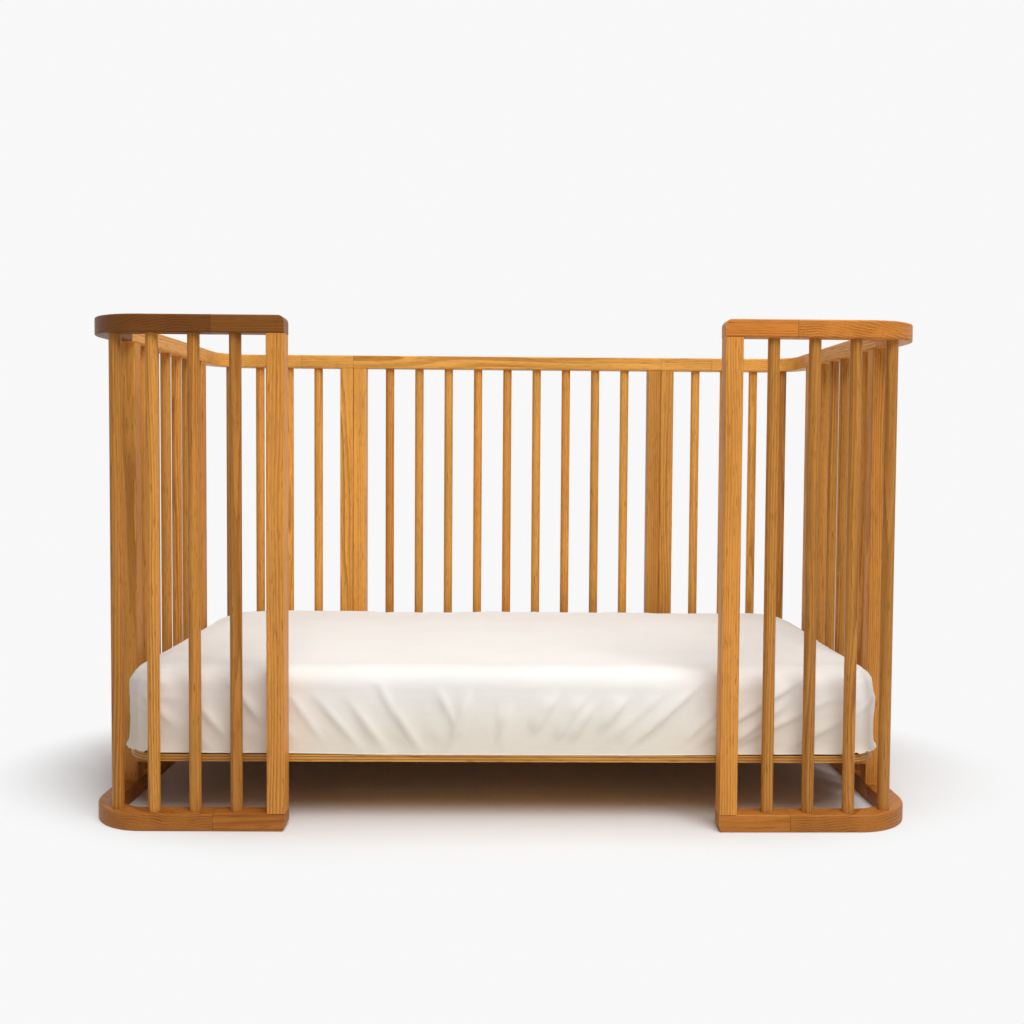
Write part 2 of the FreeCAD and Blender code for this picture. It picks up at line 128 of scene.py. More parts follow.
class BeddingSettings(PropertyGroup):
    """Sizes and colours of the mattress and its sheet."""

    sheet_colour: FloatVectorProperty(
        name="Sheet", description="Colour of the cotton sheet",
        subtype="COLOR", default=(0.945, 0.925, 0.885), min=0, max=1)
    # Painted shade: this colour multiplies the sheet more deeply towards the hem, standing in for the
    # shade on the lower part of its sides.
    hem_painted_shade: FloatVectorProperty(
        name="Hem tint", description="How much deeper the cotton's colour is at the hem",
        subtype="COLOR", default=(0.88, 0.82, 0.73), min=0, max=1)
    ticking_colour: FloatVectorProperty(
        name="Ticking", description="Colour of the mattress cover",
        subtype="COLOR", default=(0.86, 0.85, 0.80), min=0, max=1)
    edge_radius: FloatProperty(
        name="Edge radius", description="Roundness of the mattress's top edge",
        subtype="DISTANCE", unit="LENGTH", default=0.032, min=0.001)
    corner_radius: FloatProperty(
        name="Corner radius", description="Roundness of the mattress's corners in plan",
        subtype="DISTANCE", unit="LENGTH", default=0.066, min=0.001)
    cloth_grid: FloatProperty(
        name="Cloth grid", description="Size of the cloth's faces before they are subdivided",
        subtype="DISTANCE", unit="LENGTH", default=0.009, min=0.003)
    fold_height: FloatProperty(
        name="Fold height", description="How far the deepest folds stand off the mattress",
        subtype="DISTANCE", unit="LENGTH", default=0.009, min=0)
    crest_height: FloatProperty(
        name="Crest height", description="How far a fold's sharp crest stands off the fold",
        subtype="DISTANCE", unit="LENGTH", default=0.0045, min=0)
    stand_off: FloatProperty(
        name="Stand off", description="The most that the sheet may stand off the mattress",
        subtype="DISTANCE", unit="LENGTH", default=0.0098, min=0)
    hem_reach: FloatProperty(
        name="Hem reach", description="How far the loose front hem stands off the mattress",
        subtype="DISTANCE", unit="LENGTH", default=0.0094, min=0)
    hem_rise: FloatProperty(
        name="Hem rise", description="How much the front hem rises at its ends and sags between",
        subtype="DISTANCE", unit="LENGTH", default=0.0016, min=0)
    seed: IntProperty(name="Seed", description="Changes where the folds lie", default=7)


class StageSettings(PropertyGroup):
    """Camera and light."""

    lens: FloatProperty(
        name="Lens", description="Focal length on a 36 mm sensor", default=36.96, min=10)
    camera_place: FloatVectorProperty(
        name="Camera place", description="Where the camera stands",
        subtype="TRANSLATION", unit="LENGTH", default=(0.0112, -2.1225, 0.6391))
    pitch: FloatProperty(
        name="Pitch", description="How far the camera looks down", subtype="ANGLE",
        unit="ROTATION", default=math.radians(2.205))
    yaw: FloatProperty(
        name="Yaw", description="How far the camera is turned to the right", subtype="ANGLE",
        unit="ROTATION", default=math.radians(0.825))
    roll: FloatProperty(
        name="Roll", description="How far the camera leans to the left", subtype="ANGLE",
        unit="ROTATION", default=math.radians(0.413))
    shift: FloatVectorProperty(
        name="Shift", description="Lens shift across and up", size=2, default=(-0.0142, -0.0222))


# ---------------------------------------------------------------- node trees
def add_node(tree, kind, inputs=None, **settings):
    """Adds a shader node, sets its properties, and fills its inputs with values or links."""
    made = tree.nodes.new(kind)
    for key, value in settings.items():
        setattr(made, key, value)
    for key, value in (inputs or {}).items():
        socket = made.inputs[key]
        if isinstance(value, bpy.types.NodeSocket):
            tree.links.new(value, socket)
        else:
            socket.default_value = value
    return made


def maths(tree, operation, a, b=0.0, c=0.0, clamp=False):
    """A Math node's result."""
    made = add_node(tree, "ShaderNodeMath", {0: a, 1: b, 2: c}, operation=operation, use_clamp=clamp)
    return made.outputs[0]


def product(tree, a, b):
    return maths(tree, "MULTIPLY", a, b)


def total(tree, a, b):
    return maths(tree, "ADD", a, b)


def hypotenuse(tree, a, b):
    """The length of a step of a one way and b the other."""
    return maths(tree, "SQRT", total(tree, product(tree, a, a), product(tree, b, b)))


def split_axes(tree, vector):
    """A vector's X, Y and Z."""
    return add_node(tree, "ShaderNodeSeparateXYZ", {0: vector}).outputs


def grey(tree, value):
    """A grey of the value's brightness."""
    return add_node(tree, "ShaderNodeCombineColor", {0: value, 1: value, 2: value}).outputs[0]


def blend_colour(tree, factor, a, b, blend="MIX"):
    """A colour between a and b."""
    made = add_node(tree, "ShaderNodeMix", data_type="RGBA", blend_type=blend, clamp_factor=True)
    for socket, value in ((made.inputs[0], factor), (made.inputs[6], a), (made.inputs[7], b)):
        if isinstance(value, bpy.types.NodeSocket):
            tree.links.new(value, socket)
        elif hasattr(value, "__len__"):
            socket.default_value = (*value, 1.0)
        else:
            socket.default_value = value
    return made.outputs[2]


def noise(tree, vector, scale, detail=2.0, roughness=0.5, distortion=0.0):
    """A Noise texture's value, from 0 to 1."""
    made = add_node(tree, "ShaderNodeTexNoise", {
        "Vector": vector, "Scale": scale, "Detail": detail, "Roughness": roughness,
        "Distortion": distortion})
    return made.outputs["Fac"]


def stretched(tree, vector, scale, offset=(0, 0, 0)):
    """Coordinates scaled on each axis and moved."""
    made = add_node(tree, "ShaderNodeMapping", {"Vector": vector, "Scale": scale, "Location": offset})
    return made.outputs[0]


def remap(tree, value, low, high, to_low=0.0, to_high=1.0, smooth=True):
    """A value spread from one range onto another, and held at its ends."""
    made = add_node(tree, "ShaderNodeMapRange", {
        "Value": value, "From Min": low, "From Max": high, "To Min": to_low, "To Max": to_high},
        interpolation_type="SMOOTHSTEP" if smooth else "LINEAR", clamp=True)
    return made.outputs["Result"]


def new_material(name):
    """An empty material with its Principled shader, and its tree."""
    material = bpy.data.materials.new(name)
    material.use_nodes = True
    tree = material.node_tree
    tree.nodes.clear()
    shader = add_node(tree, "ShaderNodeBsdfPrincipled")
    output = add_node(tree, "ShaderNodeOutputMaterial")
    tree.links.new(shader.outputs[0], output.inputs["Surface"])
    return material, tree, shader


def object_coordinates(tree):
    return add_node(tree, "ShaderNodeTexCoord").outputs["Object"]


def add_bump(tree, shader, height, strength, distance):
    """Gives a shader relief from a height texture."""
    bump = add_node(tree, "ShaderNodeBump", {
        "Height": height, "Strength": strength, "Distance": distance})
    tree.links.new(bump.outputs[0], shader.inputs["Normal"])


# ---------------------------------------------------------------- wood
def wood_group(settings):
    """The shared grain. Its vector runs along the grain in Z, with the tree's heart at the origin."""
    tree = bpy.data.node_groups.new("Oiled wood grain", "ShaderNodeTree")
    face = tree.interface
    face.new_socket("Vector", in_out="INPUT", socket_type="NodeSocketVector")
    for name, start in (("Tone", 1.0), ("Red", 0.0), ("Figure", 1.0)):
        face.new_socket(name, in_out="INPUT", socket_type="NodeSocketFloat").default_value = start
    face.new_socket("Color", in_out="OUTPUT", socket_type="NodeSocketColor")
    face.new_socket("Roughness", in_out="OUTPUT", socket_type="NodeSocketFloat")
    face.new_socket("Height", in_out="OUTPUT", socket_type="NodeSocketFloat")
    given = add_node(tree, "NodeGroupInput").outputs
    vector = given["Vector"]

    # The fibres wander slowly along the board.
    wander = add_node(tree, "ShaderNodeTexNoise", {
        "Vector": stretched(tree, vector, (9, 9, 2.2)), "Scale": 1.0, "Detail": 1.0})
    centred = add_node(tree, "ShaderNodeVectorMath", {0: wander.outputs["Color"], 1: (0.5, 0.5, 0.5)},
                       operation="SUBTRACT").outputs[0]
    moved = add_node(tree, "ShaderNodeVectorMath", {0: centred, 1: (0.02, 0.02, 0.0), 2: vector},
                     operation="MULTIPLY_ADD").outputs[0]
    split = split_axes(tree, moved)
    heart = hypotenuse(tree, split[0], split[1])
    uneven = product(tree, noise(tree, stretched(tree, moved, (60, 60, 3)), 1.0, 1.0), 1.6)
    rings = total(tree, maths(tree, "DIVIDE", heart, settings.ring_gap), uneven)
    phase = maths(tree, "FRACT", rings)
    # Each ring darkens slowly and ends sharply.
    slow = remap(tree, phase, 0.15, 0.86)
    sharp = remap(tree, phase, 0.9, 1.0, 1.0, 0.0)
    line = product(tree, slow, sharp)
    strength = remap(tree, noise(tree, stretched(tree, moved, (40, 40, 1.5), (3, 1, 2)), 1.0, 1.0),
                     0.3, 0.75, 0.2, 0.85)
    growth = product(tree, product(tree, line, strength), given["Figure"])

    fibres = noise(tree, stretched(tree, moved, (520, 520, 9)), 1.0, 3.0, 0.6)
    fine = noise(tree, stretched(tree, moved, (1500, 1500, 30)), 1.0, 2.0, 0.6)
    pores = remap(tree, noise(tree, stretched(tree, moved, (950, 950, 38), (5, 2, 1)), 1.0, 0.0),
                  0.66, 0.74)
    mottle = noise(tree, stretched(tree, vector, (14, 14, 5), (1, 7, 3)), 1.0, 2.0)

    colour = blend_colour(tree, growth, settings.light, settings.dark)
    shade = total(tree, remap(tree, fibres, 0.25, 0.75, 0.86, 1.1, False),
                  remap(tree, mottle, 0.25, 0.75, -0.08, 0.08, False))
    shade = total(tree, shade, remap(tree, fine, 0.3, 0.7, -0.05, 0.05, False))
    shade = product(tree, shade, given["Tone"])
    colour = blend_colour(tree, 1.0, colour, grey(tree, shade), "MULTIPLY")
    colour = blend_colour(tree, given["Red"], colour, RED_TINT, "MULTIPLY")
    colour = blend_colour(tree, product(tree, pores, 0.45), colour, PORE_COLOUR)

    rough = total(tree, remap(tree, fibres, 0.2, 0.8, settings.roughness - 0.06,
                              settings.roughness + 0.08, False),
                  product(tree, pores, 0.2))
    raised = total(tree, product(tree, fibres, 0.5), product(tree, fine, 0.25))
    sunk = total(tree, product(tree, pores, 0.7), product(tree, growth, 0.25))
    height = maths(tree, "SUBTRACT", raised, sunk)
    out = add_node(tree, "NodeGroupOutput")
    tree.links.new(colour, out.inputs["Color"])
    tree.links.new(rough, out.inputs["Roughness"])
    tree.links.new(height, out.inputs["Height"])
    return tree


def finish_wood(tree, shader, group, vector, tone, red=0.0, figure=1.0):
    """Wires the shared grain into a shader."""
    grain = add_node(tree, "ShaderNodeGroup", node_tree=group)
    tree.links.new(vector, grain.inputs["Vector"])
    for name, value in (("Tone", tone), ("Red", red), ("Figure", figure)):
        if isinstance(value, bpy.types.NodeSocket):
            tree.links.new(value, grain.inputs[name])
        else:
            grain.inputs[name].default_value = value
    tree.links.new(grain.outputs["Roughness"], shader.inputs["Roughness"])
    shader.inputs["Specular IOR Level"].default_value = 0.2
    add_bump(tree, shader, grain.outputs["Height"], 0.35, 0.0004)
    return grain.outputs["Color"]


def along_axis(tree, vector, axis):
    """Turns coordinates so that the grain, which lies along the named axis, becomes Z."""
    split = split_axes(tree, vector)
    order = {"X": (1, 2, 0), "Y": (0, 2, 1), "Z": (0, 1, 2)}[axis]
    return add_node(tree, "ShaderNodeCombineXYZ", {i: split[o] for i, o in enumerate(order)}).outputs[0]


def heart_offset(chance):
    """Where the tree's heart lay beside a piece: a few centimetres to a hand's width away."""
    angle = chance.uniform(0, math.tau)
    reach = chance.uniform(0.05, 0.14)
    return reach * math.cos(angle), reach * math.sin(angle), chance.uniform(0, 9)


def plain_wood(name, group, axis, tone, red, chance, place=(0, 0, 0)):
    """Wood for a straight piece whose grain runs along one axis."""
    material, tree, shader = new_material(name)
    local = stretched(tree, object_coordinates(tree), (1, 1, 1), [-v for v in place])
    turned = along_axis(tree, local, axis)
    vector = stretched(tree, turned, (1, 1, 1), heart_offset(chance))
    colour = finish_wood(tree, shader, group, vector, tone, red)
    tree.links.new(colour, shader.inputs["Base Color"])
    return material


def rail_wood(name, group, tones, reds, chance):
    """Wood for a module's rail, glued up from an arm, a corner, an end bar, a corner and an arm.
    The corners are cut from board whose grain runs across the bend. The tones and reds are for
    the front arm, front corner, end bar, back corner and back arm."""
    material, tree, shader = new_material(name)
    coordinates = object_coordinates(tree)
    x, y, z = split_axes(tree, coordinates)
    out_x = maths(tree, "ABSOLUTE", x)
    out_y = maths(tree, "ABSOLUTE", y)
    is_arm = maths(tree, "LESS_THAN", out_x, ARM_JOINT)
    is_end = maths(tree, "LESS_THAN", out_y, SIDE_JOINT)
    is_back = maths(tree, "GREATER_THAN", y, 0.0)

    def grain(first, second, run, offset):
        joined = add_node(tree, "ShaderNodeCombineXYZ", {0: first, 1: second, 2: run}).outputs[0]
        return stretched(tree, joined, (1, 1, 1), offset)

    def choose(mask, a, b):
        made = add_node(tree, "ShaderNodeMix", data_type="VECTOR")
        for socket, value in ((made.inputs[0], mask), (made.inputs[4], a), (made.inputs[5], b)):
            tree.links.new(value, socket)
        return made.outputs[1]

    half = math.sqrt(0.5)
    run = product(tree, maths(tree, "SUBTRACT", out_x, out_y), half)
    across = product(tree, total(tree, out_x, out_y), half)
    # The back's corner and arm come from another part of the board than the front's.
    run = total(tree, run, product(tree, is_back, 2.7))
    arm_run = total(tree, x, product(tree, is_back, 3.1))
    corner = grain(across, z, run, (-0.62, -0.6, chance.uniform(0, 9)))
    vector = choose(is_arm, corner, grain(y, z, arm_run, heart_offset(chance)))
    vector = choose(is_end, vector, grain(x, z, y, heart_offset(chance)))

    def either(mask, when_on, when_off):
        off = product(tree, when_off, maths(tree, "SUBTRACT", 1.0, mask))
        return total(tree, off, product(tree, mask, when_on))

    def pick(values):
        front_arm, front_corner, end_bar, back_corner, back_arm = values
        front = maths(tree, "MULTIPLY_ADD", is_arm, front_arm - front_corner, front_corner)
        back = maths(tree, "MULTIPLY_ADD", is_arm, back_arm - back_corner, back_corner)
        return either(is_end, end_bar, either(is_back, back, front))

    colour = finish_wood(tree, shader, group, vector, pick(tones), pick(reds))
    # Thin dark glue lines.
    line = maths(tree, "MAXIMUM", maths(tree, "COMPARE", out_x, ARM_JOINT, GLUE_LINE),
                 maths(tree, "COMPARE", out_y, SIDE_JOINT, GLUE_LINE))
    colour = blend_colour(tree, product(tree, line, 0.65), colour, GLUE_COLOUR)
    tree.links.new(colour, shader.inputs["Base Color"])
    return material


def board_tone(name, chance):
    """Depth of colour and redness of a straight piece. Pieces of one kind are cut from boards that
    match roughly, and the first kind that fits the name counts. Each row is a kind, the least
    and most depth, and the least and most redness."""
    kinds = (
        ("back_panel_left_post", 1.14, 1.18, 0.05, 0.12),
        ("back_panel_right_post", 0.80, 0.84, 0.2, 0.3),
        ("right_front_spindle_2", 0.68, 0.70, 0.3, 0.4),
        ("left_front_spindle_3", 0.96, 1.0, 0.2, 0.3),
        ("right_side_back_post", 1.02, 1.08, 0.2, 0.3),
        ("back_panel", 0.88, 1.18, 0.1, 0.3),
        ("back_top_rail", 1.12, 1.16, 0.0, 0.05),
        ("back_bottom_rail", 0.95, 1.0, 0.1, 0.2),
        ("side_front_post", 0.88, 1.0, 0.3, 0.45),
        ("side_back_post", 0.88, 1.0, 0.3, 0.45),
        ("front_post", 0.97, 1.02, 0.34, 0.42),
        ("right_back_post", 0.86, 0.9, 0.15, 0.2),
        ("back_post", 1.05, 1.15, 0.05, 0.2),
        ("front_spindle", 0.68, 0.86, 0.25, 0.4),
        ("corner_spindle", 0.68, 0.78, 0.3, 0.45),
        ("side_spindle", 0.8, 0.98, 0.2, 0.4),
        ("back_spindle", 0.9, 1.18, 0.0, 0.3),
    )
    for kind, low, high, least_red, most_red in kinds:
        if kind in name:
            return chance.uniform(low, high), chance.uniform(least_red, most_red)
    return 1.0, 0.2


def plywood(name, group, chance):
    """Plywood: grain along the length on its faces, thin plies on its edges."""
    material, tree, shader = new_material(name)
    coordinates = object_coordinates(tree)
    vector = stretched(tree, along_axis(tree, coordinates, "X"), (0.5, 0.5, 1), heart_offset(chance))
    colour = finish_wood(tree, shader, group, vector, 0.98, 0.0, 0.6)
    above = maths(tree, "SUBTRACT", split_axes(tree, coordinates)[2], DECK_LOW.z)
    layer = product(tree, above, PLIES / (DECK_HIGH.z - DECK_LOW.z))
    odd = maths(tree, "GREATER_THAN", maths(tree, "MODULO", layer, 2.0), 1.0)
    normal = add_node(tree, "ShaderNodeNewGeometry").outputs["Normal"]
    level = maths(tree, "ABSOLUTE", split_axes(tree, normal)[2])
    on_edge = maths(tree, "LESS_THAN", level, 0.5)
    ply_line = product(tree, product(tree, odd, on_edge), 0.6)
    colour = blend_colour(tree, ply_line, colour, PLY_COLOUR)
    tree.links.new(colour, shader.inputs["Base Color"])
    return material


def zinc_steel():
    """Zinc-plated steel with fine drawn lines and a slight bloom."""
    material, tree, shader = new_material("Zinc plated steel")
    coordinates = object_coordinates(tree)
    lines = noise(tree, stretched(tree, coordinates, (300, 300, 2600)), 1.0, 2.0)
    bloom = noise(tree, stretched(tree, coordinates, (90, 90, 90)), 1.0, 3.0, 0.6)
    colour = blend_colour(tree, bloom, (0.50, 0.50, 0.52), (0.66, 0.66, 0.65))
    tree.links.new(colour, shader.inputs["Base Color"])
    shader.inputs["Metallic"].default_value = 1.0
    rough = remap(tree, total(tree, lines, bloom), 0.6, 1.4, 0.24, 0.44)
    tree.links.new(rough, shader.inputs["Roughness"])
    add_bump(tree, shader, lines, 0.15, 0.0001)
    return material


# ---------------------------------------------------------------- fabric
def woven(name, colour, thread, sheen, hem_painted_shade=(1.0, 1.0, 1.0)):
    """Plain-woven cotton. thread is the distance between threads, in metres, and the last argument is a
    painted shade: how much deeper the colour gets down to the hem, standing in for the shade on the
    sheet's lower sides."""
    material, tree, shader = new_material(name)
    coordinates = object_coordinates(tree)
    split = split_axes(tree, coordinates)
    threads = [maths(tree, "SINE", product(tree, split[axis], math.tau / thread)) for axis in range(3)]
    weave = product(tree, total(tree, threads[0], threads[1]), 0.5)
    weave = total(tree, weave, product(tree, threads[2], 0.5))
    slubs = noise(tree, stretched(tree, coordinates, (35, 420, 420)), 1.0, 2.0)
    cross_slubs = noise(tree, stretched(tree, coordinates, (420, 35, 420), (2, 5, 1)), 1.0, 2.0)
    mottle = noise(tree, stretched(tree, coordinates, (6, 6, 9)), 1.0, 3.0)
    shade = total(tree, remap(tree, total(tree, slubs, cross_slubs), 0.7, 1.3, 0.99, 1.008),
                  remap(tree, mottle, 0.3, 0.7, -0.018, 0.018))
    shade = maths(tree, "MULTIPLY_ADD", weave, 0.012, shade)
    tinted = blend_colour(tree, 1.0, colour, grey(tree, shade), "MULTIPLY")
    # Painted shade: the cotton darkens from the mattress's top down to the hem by the hem colour.
    down = remap(tree, split[2], BED_LOW.z, BED_HIGH.z, 1.0, 0.0)
    tree.links.new(blend_colour(tree, down, tinted, hem_painted_shade, "MULTIPLY"), shader.inputs["Base Color"])
    shader.inputs["Roughness"].default_value = 0.85
    shader.inputs["Sheen Weight"].default_value = sheen
    shader.inputs["Sheen Roughness"].default_value = 0.45
    shader.inputs["Specular IOR Level"].default_value = 0.25
    height = total(tree, product(tree, weave, 0.5), product(tree, slubs, 0.35))
    add_bump(tree, shader, height, 0.25, 0.0002)
    return material


# ---------------------------------------------------------------- soft shapes
def link_piece(name, mesh, material):
    """Puts a finished mesh in the scene as a piece that rides with the bedding."""
    made = carry(name, mesh)
    made.data.materials.clear()
    made.data.materials.append(material)
    for polygon in made.data.polygons:
        polygon.use_smooth = True
    return made


def soft_block(low, high, corner_radius, edge_radius, both_edges):
    """A bmesh block with rounded corners in plan and rounded rims."""
    shape = bmesh.new()
    size = high - low
    bmesh.ops.create_cube(shape, size=1.0)
    bmesh.ops.scale(shape, vec=size, verts=shape.verts)
    bmesh.ops.translate(shape, vec=(low + high) / 2, verts=shape.verts)
    uprights = [e for e in shape.edges if abs(e.verts[0].co.z - e.verts[1].co.z) > size.z / 2]
    bmesh.ops.bevel(shape, geom=uprights, offset=corner_radius, segments=12, profile=0.5,
                    affect="EDGES", material=-1)
    top, bottom = high.z, low.z

    def rim(level):
        return [e for e in shape.edges
                if all(abs(v.co.z - level) < 1e-6 for v in e.verts) and len(e.link_faces) == 2
                and any(abs(f.normal.z) < 0.5 for f in e.link_faces)]

    shape.normal_update()
    edges = rim(top) + (rim(bottom) if both_edges else [])
    bmesh.ops.bevel(shape, geom=edges, offset=edge_radius, segments=6, profile=0.5,
                    affect="EDGES", material=-1)
    return shape


def to_mesh(shape, name):
    """Turns a bmesh into a mesh datablock and frees it."""
    mesh = bpy.data.meshes.new(name)
    shape.to_mesh(mesh)
    shape.free()
    return mesh


def finished_mesh(carrier):
    """An object's mesh with its modifiers or bevel applied. The object is removed."""
    bpy.context.view_layer.update()
    result = bpy.data.meshes.new_from_object(
        carrier.evaluated_get(bpy.context.evaluated_depsgraph_get()))
    bpy.data.objects.remove(carrier)
    return result


def carry(name, data):
    """A passing object that holds a mesh or a curve."""
    carrier = bpy.data.objects.new(name, data)
    bpy.context.scene.collection.objects.link(carrier)
    return carrier


def remeshed(mesh, voxel):
    """The same shape as an even grid of faces."""
    carrier = carry("carrier", mesh)
    grid = carrier.modifiers.new("grid", "REMESH")
    grid.mode = "VOXEL"
    grid.voxel_size = voxel
    return finished_mesh(carrier)


def smoothstep(low, high, value):
    """0 below low, 1 above high, and a soft ramp between them."""
    t = min(1.0, max(0.0, (value - low) / (high - low)))
    return t * t * (3 - 2 * t)


def outward(point, radius):
    """Which way is out of the mattress's side at a point, in plan, and how far the point lies
    inside the mattress's outline."""
    inner_x = BED_HIGH.x - radius
    inner_y = BED_HIGH.y - radius
    nearest = Vector((min(inner_x, max(-inner_x, point.x)), min(inner_y, max(-inner_y, point.y)), 0))
    away = Vector((point.x, point.y, 0)) - nearest
    if away.length > 1e-6:
        return away.normalized(), radius - away.length
    gap_x = BED_HIGH.x - abs(point.x)
    gap_y = BED_HIGH.y - abs(point.y)
    if gap_x < gap_y:
        return Vector((math.copysign(1, point.x), 0, 0)), gap_x
    return Vector((0, math.copysign(1, point.y), 0)), gap_y


def open_bottom(mesh):
    """Takes away the underside, where a fitted sheet is open."""
    cut = bmesh.new()
    cut.from_mesh(mesh)
    cut.normal_update()
    under = [f for f in cut.faces if f.normal.z < -0.4]
    bmesh.ops.delete(cut, geom=under, context="FACES")
    cut.to_mesh(mesh)
    cut.free()


def side_folds(half_run, count, lean, chance):
    """Soft folds on one side of the sheet. They lean in from the corners towards the middle of
    the hem, steeply near the middle and flatly near the corners, and flatter and higher on the
    side's positive half. Each fold is its upper end, its lower end, its share of the fold height
    and its half width."""
    folds = []
    for i in range(count):
        place = ((i + chance.uniform(0.1, 0.9)) / count * 2 - 1) * half_run
        near = abs(place) / half_run
        length = BED_DROP * chance.uniform(0.35, 0.75)
        top = BED_LOW.z + BED_DROP * chance.uniform(0.52, 0.84)
        slant = lean * (0.3 + 1.2 * near) * chance.uniform(0.7, 1.25) * (1.35 if place > 0 else 1.0)
        slant = -math.copysign(slant, place) if near > 0.1 else slant * chance.uniform(-0.9, 0.9)
        bottom = max(BED_LOW.z + 0.012, top - length)
        end = place + slant * (top - bottom)
        height = chance.uniform(0.4, 1.0)
        if place > 0:
            height = min(1.0, height * 1.3)
        folds.append((Vector((place, top)), Vector((end, bottom)), height,
                      chance.uniform(0.007, 0.013)))
    return folds


def sheet_folds(settings):
    """The folds of the sheet's four sides."""
    chance = random.Random(settings.seed)
    margin = 0.02
    long_run = BED_HIGH.x - margin
    end_run = BED_HIGH.y - margin
    return {
        "front": side_folds(long_run, 26, 1.0, chance),
        "back": side_folds(long_run, 20, 0.9, chance),
        "left": side_folds(end_run, 11, 0.8, chance),
        "right": side_folds(end_run, 11, 0.8, chance),
    }


def fold_lift(folds, run, z, sharpness):
    """How far the folds lift the cloth at one point of a side, as a share of the fold height."""
    lift = 0.0
    for start, end, height, width in folds:
        line = end - start
        offset = Vector((run, z)) - start
        along = offset.dot(line) / line.length_squared
        if along < -0.3 or along > 1.25:
            continue
        across = (line.x * offset.y - line.y * offset.x) / line.length
        side = width * (0.6 if across > 0 else 1.7) / sharpness
        fade = smoothstep(-0.3, 0.3, along) * (1 - smoothstep(0.65, 1.25, along))
        lift = max(lift, height * fade * math.exp(-(across / side) ** 2))
    return lift


def raise_folds(mesh, settings, folds, height, sharpness):
    """Lifts the cloth into its folds; sharper folds have narrower crests."""
    for vertex in mesh.vertices:
        away, inside = outward(vertex.co, settings.corner_radius)
        if inside > 0.012:
            continue
        if abs(away.y) > abs(away.x):
            side, run = ("front" if away.y < 0 else "back"), vertex.co.x
        else:
            side, run = ("left" if away.x < 0 else "right"), vertex.co.y
        vertex.co += away * fold_lift(folds[side], run, vertex.co.z, sharpness) * height


def draw_in(mesh, settings):
    """Gives the sheet its soft outline: crowned on top, full at the middle of its sides and drawn
    in above and below. The hem stands just clear of the deck's edge at the front and its corners,
    lowest at the middle, and is tucked in at the back and between the brackets."""
    lowest = min(vertex.co.z for vertex in mesh.vertices)
    for vertex in mesh.vertices:
        point = vertex.co
        away, inside = outward(point, settings.corner_radius)
        if inside > 0.004:
            point.z += CROWN * smoothstep(0.02, 0.22, inside)
            continue
        up = (point.z - BED_LOW.z) / BED_DROP
        full = 1 - (2 * up - 0.9) ** 2
        low = 1 - smoothstep(0.0, 0.13, up)
        loose = smoothstep(LOOSE_FROM, LOOSE_TO, -point.y)
        middle = (1 - smoothstep(0.15, 0.5, abs(point.x - 0.04))) * loose
        end = abs(away.x) * max(smoothstep(0.35, 0.6, up), loose)
        tucked = (1 - smoothstep(0.1, 0.3, up)) * (1 - loose)
        out = FULLNESS * full - DRAWN_IN + END_FULLNESS * end * full - TUCK * tucked
        out += low * loose * (settings.hem_reach - (out - inside))
        point += away * out
        level = BED_LOW.z + HEM_RADIUS + settings.hem_rise * (loose - 2 * middle)
        point.z += low * (level - lowest)


def keep_near(mesh, radius, limit):
    """Draws back whatever stands further off the mattress's outline than it may."""
    for vertex in mesh.vertices:
        away, inside = outward(vertex.co, radius)
        if -inside > limit:
            vertex.co -= away * (-inside - limit)


def settle(sheet, settings):
    """Lets the cloth settle on the mattress by simulation, and applies the result."""
    radius = settings.corner_radius
    start = [vertex.co.copy() for vertex in sheet.data.vertices]
    edge = set()
    uses = {}
    for polygon in sheet.data.polygons:
        for key in polygon.edge_keys:
            uses[key] = uses.get(key, 0) + 1
    for key, count in uses.items():
        if count == 1:
            edge.update(key)
    pins = sheet.vertex_groups.new(name="held")
    for index, point in enumerate(start):
        inside = outward(point, radius)[1]
        hold = 1.0 if index in edge else 0.97 * smoothstep(0.03, 0.09, inside)
        if hold > 0:
            pins.add([index], hold, "REPLACE")

    body = soft_block(BED_LOW + Vector((BODY_GAP, BODY_GAP, 0)),
                      BED_HIGH - Vector((BODY_GAP, BODY_GAP, 0.002)),
                      radius - BODY_GAP, settings.edge_radius - BODY_GAP, False)
    block = carry("block", to_mesh(body, "block"))
    block.modifiers.new("block", "COLLISION")
    block.collision.thickness_outer = 0.002
    block.collision.cloth_friction = 12

    cloth = sheet.modifiers.new("cloth", "CLOTH")
    cloth.settings.quality = 6
    cloth.settings.mass = 0.06
    cloth.settings.tension_stiffness = 30
    cloth.settings.compression_stiffness = 30
    cloth.settings.shear_stiffness = 8
    cloth.settings.bending_stiffness = 0.25
    cloth.settings.air_damping = 3
    cloth.settings.vertex_group_mass = "held"
    cloth.settings.pin_stiffness = 2
    cloth.settings.effector_weights.gravity = 0.7
    cloth.collision_settings.distance_min = 0.002
    cloth.point_cache.frame_start = 1
    cloth.point_cache.frame_end = SETTLING
    scene = bpy.context.scene
    for number in range(1, SETTLING + 1):
        scene.frame_set(number)
    settled = sheet.evaluated_get(bpy.context.evaluated_depsgraph_get()).data
    places = [vertex.co.copy() for vertex in settled.vertices]
    sheet.modifiers.remove(cloth)
    bpy.data.objects.remove(block)
    scene.frame_set(1)
    sheet.vertex_groups.remove(pins)
    for vertex, place in zip(sheet.data.vertices, places):
        vertex.co = place
    keep_near(sheet.data, radius, settings.stand_off)


def soften(shape, rounds):
    """Smooths a cloth all over except along its open edge."""
    inner = [v for v in shape.verts if not v.is_boundary]
    for _ in range(rounds):
        bmesh.ops.smooth_vert(shape, verts=inner, factor=0.5, use_axis_x=True, use_axis_y=True,
                              use_axis_z=True)


